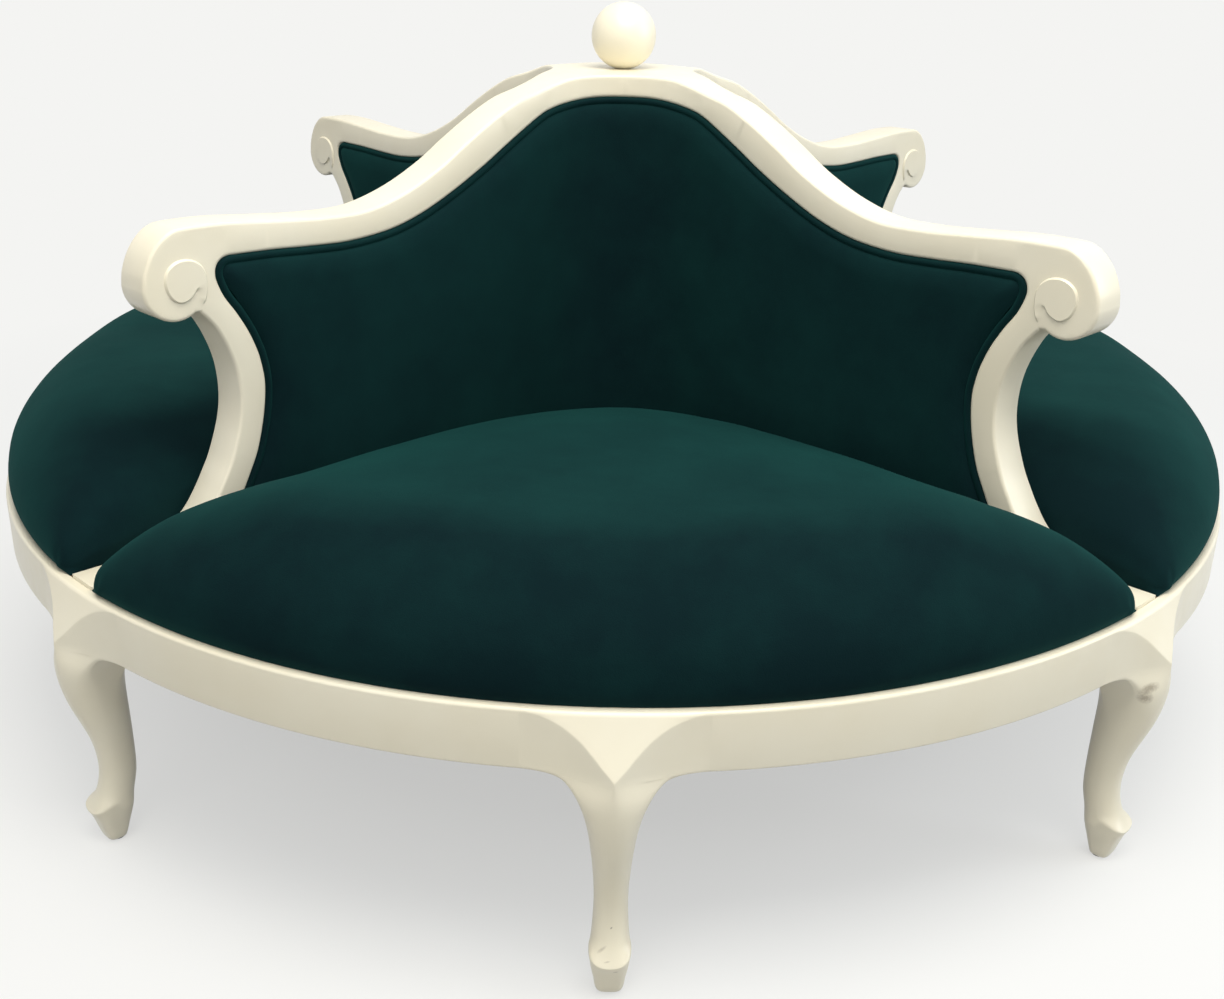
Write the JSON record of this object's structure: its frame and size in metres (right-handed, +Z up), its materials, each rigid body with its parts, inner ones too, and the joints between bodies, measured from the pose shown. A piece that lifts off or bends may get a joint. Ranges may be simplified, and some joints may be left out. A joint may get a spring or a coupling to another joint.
{
  "type": "circular bench with a four-winged back",
  "caption": "Round upholstered settee: padded seats in a ring, parted by radial scroll-ended wings with curved padded backs, on cabriole legs with a ball finial.",
  "frame": {"origin": "on the floor under the finial, at the centre of the ring of feet", "axes": "+Z up through the finial; -Y out of the front seat's middle; the wings stand at 45 degrees to X and Y"},
  "size_m": [1.9716, 1.9716, 1.0427],
  "materials": {
    "cream_lacquer": "cream lacquer on carved hardwood, satin",
    "teal_velvet": "short-pile cotton velvet, deep teal",
    "raw_beech": "unfinished beech",
    "plywood": "unfinished birch plywood",
    "zinc_screws": "bright zinc plate",
    "black_dust_cloth": "thin black spun cloth",
    "glide_plastic": "moulded nylon"
  },
  "bodies": {
    "root": {"centre_post": "cream_lacquer", "finial_ball": "cream_lacquer", "hub_block": "raw_beech", "top_rail_1": "cream_lacquer", "top_rail_2": "cream_lacquer", "top_rail_3": "cream_lacquer", "top_rail_4": "cream_lacquer", "end_post_1": "cream_lacquer", "end_post_2": "cream_lacquer", "end_post_3": "cream_lacquer", "end_post_4": "cream_lacquer", "wing_bearer_1": "raw_beech", "wing_bearer_2": "raw_beech", "wing_bearer_3": "raw_beech", "wing_bearer_4": "raw_beech", "seat_bearer_1": "raw_beech", "seat_bearer_2": "raw_beech", "seat_bearer_3": "raw_beech", "seat_bearer_4": "raw_beech", "leg_1": "cream_lacquer", "leg_2": "cream_lacquer", "leg_3": "cream_lacquer", "leg_4": "cream_lacquer", "leg_5": "cream_lacquer", "leg_6": "cream_lacquer", "leg_7": "cream_lacquer", "leg_8": "cream_lacquer", "apron_rail_1": "cream_lacquer", "apron_rail_2": "cream_lacquer", "apron_rail_3": "cream_lacquer", "apron_rail_4": "cream_lacquer", "apron_rail_5": "cream_lacquer", "apron_rail_6": "cream_lacquer", "apron_rail_7": "cream_lacquer", "apron_rail_8": "cream_lacquer", "seat_board_1": "plywood", "seat_board_2": "plywood", "seat_board_3": "plywood", "seat_board_4": "plywood", "seat_pad_1": "teal_velvet", "seat_pad_2": "teal_velvet", "seat_pad_3": "teal_velvet", "seat_pad_4": "teal_velvet", "back_board_1": "plywood", "back_board_2": "plywood", "back_board_3": "plywood", "back_board_4": "plywood", "back_pad_1": "teal_velvet", "back_pad_2": "teal_velvet", "back_pad_3": "teal_velvet", "back_pad_4": "teal_velvet", "corner_blocks": "raw_beech", "corner_screws": "zinc_screws", "apron_dowels": "raw_beech", "wing_dowels": "raw_beech", "bearer_dowels": "raw_beech", "dust_cover": "black_dust_cloth", "foot_glides": "glide_plastic"}
  },
  "joints": []
}
